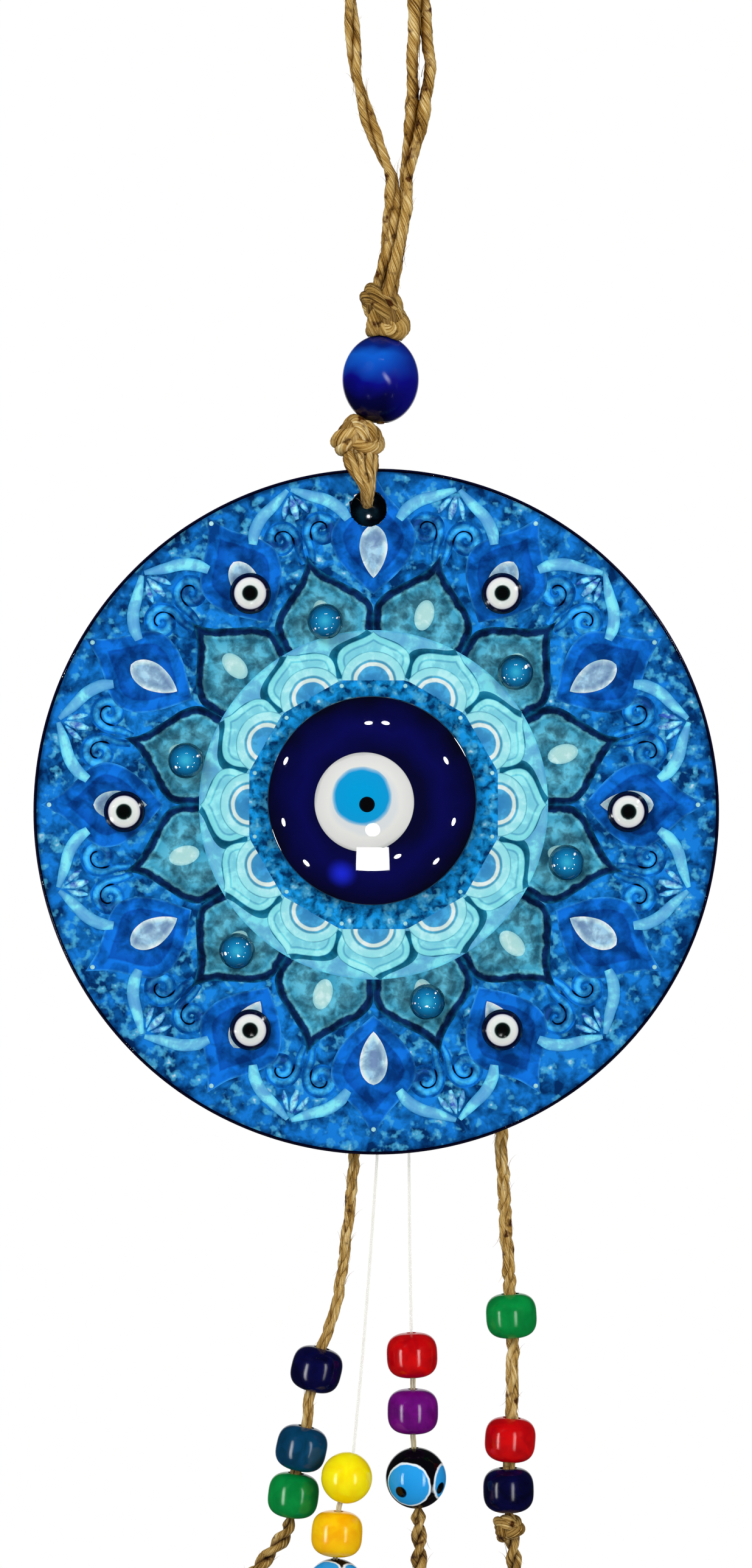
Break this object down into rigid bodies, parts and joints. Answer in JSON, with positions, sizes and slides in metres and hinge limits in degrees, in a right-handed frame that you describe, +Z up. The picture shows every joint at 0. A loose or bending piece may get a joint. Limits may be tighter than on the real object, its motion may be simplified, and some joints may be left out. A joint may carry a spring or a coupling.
{
  "type": "evil eye wall hanging",
  "caption": "Round wall ornament with a domed glass eye on a printed lotus disc, hung from a knotted jute loop with a bead, and beaded cords hanging below.",
  "frame": {"origin": "the point inside the top of the hanging loop where a nail carries it", "axes": "+Z up along the plumb line, the decorated front faces -Y, +X to the right seen from the front"},
  "size_m": [0.1501, 0.0209, 0.4207],
  "materials": {
    "board_wood": "painted dark on the edge and back",
    "print": "printed paper under the coat",
    "clear_resin": "clear poured gloss",
    "cobalt_glass": "fused cobalt glass, glossy",
    "white_glass": "opaque white glass",
    "sky_glass": "opaque sky blue glass",
    "black_glass": "opaque black glass",
    "drop_glass": "transparent blue glass",
    "jute": "twisted natural jute",
    "nylon_thread": "clear nylon thread",
    "glue": "milky hot glue",
    "bead_blue": "glossy blue glass",
    "bead_black": "glossy black with eye spots",
    "bead_navy": "glossy",
    "bead_teal": "glossy",
    "bead_green": "glossy",
    "bead_red": "glossy",
    "bead_purple": "glossy",
    "bead_yellow": "glossy",
    "bead_orange": "glossy"
  },
  "bodies": {
    "root": {"hanging_loop": "jute", "upper_knot": "jute", "neck_cord": "jute"},
    "blue_bead": {"blue_bead": "bead_blue"},
    "lower_knot": {"lower_knot": "jute"},
    "tie": {"tie_loop": "jute"},
    "disc": {"board": "board_wood", "printed_sheet": "print", "resin_coat": "clear_resin", "centre_eye_cobalt": "cobalt_glass", "centre_eye_white": "white_glass", "centre_eye_sky": "sky_glass", "centre_eye_pupil": "black_glass", "small_eye_1": "cobalt_glass", "small_eye_2": "cobalt_glass", "small_eye_3": "cobalt_glass", "small_eye_4": "cobalt_glass", "small_eye_5": "cobalt_glass", "small_eye_6": "cobalt_glass", "glass_drop_1": "drop_glass", "glass_drop_2": "drop_glass", "glass_drop_3": "drop_glass", "glass_drop_4": "drop_glass", "glass_drop_5": "drop_glass", "glass_drop_6": "drop_glass", "left_stub": "jute", "glue_dab_left": "glue", "front_stub": "nylon_thread", "glue_dab_front": "glue", "middle_stub": "nylon_thread", "glue_dab_middle": "glue", "right_stub": "jute", "glue_dab_right": "glue"},
    "left_upper": {"left_upper_cord": "jute"},
    "left_lower": {"left_lower_cord": "jute", "left_tail": "jute"},
    "left_navy_bead": {"left_navy_bead": "bead_navy"},
    "left_teal_bead": {"left_teal_bead": "bead_teal"},
    "left_green_bead": {"left_green_bead": "bead_green"},
    "front_upper": {"front_upper_cord": "nylon_thread"},
    "front_lower": {"front_lower_cord": "nylon_thread", "front_tail": "jute"},
    "front_yellow_bead": {"front_yellow_bead": "bead_yellow"},
    "front_orange_bead": {"front_orange_bead": "bead_orange"},
    "front_eye_bead": {"front_eye_bead": "bead_black"},
    "middle_upper": {"middle_upper_cord": "nylon_thread"},
    "middle_lower": {"middle_lower_cord": "nylon_thread", "middle_tail": "jute"},
    "middle_red_bead": {"middle_red_bead": "bead_red"},
    "middle_purple_bead": {"middle_purple_bead": "bead_purple"},
    "middle_eye_bead": {"middle_eye_bead": "bead_black"},
    "right_upper": {"right_upper_cord": "jute"},
    "right_lower": {"right_lower_cord": "jute", "right_tail": "jute"},
    "right_green_bead": {"right_green_bead": "bead_green"},
    "right_red_bead": {"right_red_bead": "bead_red"},
    "right_navy_bead": {"right_navy_bead": "bead_navy"}
  },
  "joints": [
    {"name": "blue_bead_spin", "type": "hinge", "parent": "root", "child": "blue_bead", "pos_m": [-0.0008, 0, -0.12333], "axis": [0, 0, 1], "continuous": true},
    {"name": "disc_turn", "type": "hinge", "parent": "root", "child": "lower_knot", "pos_m": [-0.0008, 0, -0.13638], "axis": [0, 0, 1], "range_deg": [-180, 180]},
    {"name": "disc_tip", "type": "hinge", "parent": "lower_knot", "child": "tie", "pos_m": [-0.00575, 0, -0.13638], "axis": [-1, 0, 0], "range_deg": [0, 35]},
    {"name": "disc_swing", "type": "hinge", "parent": "tie", "child": "disc", "pos_m": [-0.00345, 0, -0.1477], "axis": [0, 1, 0], "range_deg": [-12, 12]},
    {"name": "left_swing", "type": "hinge", "parent": "disc", "child": "left_upper", "pos_m": [-0.00655, 0.00435, -0.29475], "axis": [0, 1, 0], "range_deg": [0, 30]},
    {"name": "left_lower_swing", "type": "hinge", "parent": "left_upper", "child": "left_lower", "pos_m": [-0.01649, 0.00435, -0.34709], "axis": [0, 1, 0], "range_deg": [0, 30]},
    {"name": "left_navy_bead_spin", "type": "hinge", "parent": "left_upper", "child": "left_navy_bead", "pos_m": [-0.0149, 0.00435, -0.34074], "axis": [0.2419, 0, 0.9703], "continuous": true},
    {"name": "left_teal_bead_spin", "type": "hinge", "parent": "left_lower", "child": "left_teal_bead", "pos_m": [-0.01821, 0.00435, -0.35809], "axis": [0.2164, 0, 0.9763], "continuous": true},
    {"name": "left_green_bead_spin", "type": "hinge", "parent": "left_lower", "child": "left_green_bead", "pos_m": [-0.01999, 0.00435, -0.36843], "axis": [0.1219, 0, 0.9925], "continuous": true},
    {"name": "front_swing", "type": "hinge", "parent": "disc", "child": "front_upper", "pos_m": [-0.00155, 0.0036, -0.29415], "axis": [-1, 0, 0], "range_deg": [0, 45]},
    {"name": "front_lower_swing", "type": "hinge", "parent": "front_upper", "child": "front_lower", "pos_m": [-0.00986, -0.00294, -0.3698], "axis": [0, 1, 0], "range_deg": [-15, 0]},
    {"name": "front_yellow_bead_spin", "type": "hinge", "parent": "front_upper", "child": "front_yellow_bead", "pos_m": [-0.0082, -0.00239, -0.36359], "axis": [0.2579, 0.0854, 0.9624], "continuous": true},
    {"name": "front_orange_bead_spin", "type": "hinge", "parent": "front_lower", "child": "front_orange_bead", "pos_m": [-0.01035, -0.00294, -0.37572], "axis": [0.0698, 0, 0.9976], "continuous": true},
    {"name": "front_eye_bead_spin", "type": "hinge", "parent": "front_lower", "child": "front_eye_bead", "pos_m": [-0.01069, -0.00294, -0.38786], "axis": [0, 0, 1], "continuous": true},
    {"name": "middle_swing", "type": "hinge", "parent": "disc", "child": "middle_upper", "pos_m": [0.00545, 0.0036, -0.2938], "axis": [-1, 0, 0], "range_deg": [0, 45]},
    {"name": "middle_lower_swing", "type": "hinge", "parent": "middle_upper", "child": "middle_lower", "pos_m": [0.00633, 0.0036, -0.34334], "axis": [0, 1, 0], "range_deg": [-10, 5]},
    {"name": "middle_red_bead_spin", "type": "hinge", "parent": "middle_upper", "child": "middle_red_bead", "pos_m": [0.00613, 0.0036, -0.33755], "axis": [-0.0349, 0, 0.9994], "continuous": true},
    {"name": "middle_purple_bead_spin", "type": "hinge", "parent": "middle_lower", "child": "middle_purple_bead", "pos_m": [0.00631, 0.0036, -0.34989], "axis": [0, 0, 1], "continuous": true},
    {"name": "middle_eye_bead_spin", "type": "hinge", "parent": "middle_lower", "child": "middle_eye_bead", "pos_m": [0.00698, 0.0036, -0.36452], "axis": [-0.0698, 0, 0.9976], "continuous": true},
    {"name": "right_swing", "type": "hinge", "parent": "disc", "child": "right_upper", "pos_m": [0.02575, 0.00455, -0.28988], "axis": [-1, 0, 0], "range_deg": [0, 45]},
    {"name": "right_lower_swing", "type": "hinge", "parent": "right_upper", "child": "right_lower", "pos_m": [0.02835, 0.00455, -0.3357], "axis": [0, 1, 0], "range_deg": [-30, 6]},
    {"name": "right_green_bead_spin", "type": "hinge", "parent": "right_upper", "child": "right_green_bead", "pos_m": [0.02799, 0.00455, -0.32896], "axis": [-0.0523, 0, 0.9986], "continuous": true},
    {"name": "right_red_bead_spin", "type": "hinge", "parent": "right_lower", "child": "right_red_bead", "pos_m": [0.02773, 0.00455, -0.35624], "axis": [0.0698, 0, 0.9976], "continuous": true},
    {"name": "right_navy_bead_spin", "type": "hinge", "parent": "right_lower", "child": "right_navy_bead", "pos_m": [0.02737, 0.00455, -0.36732], "axis": [-0.0175, 0, 0.9998], "continuous": true}
  ]
}
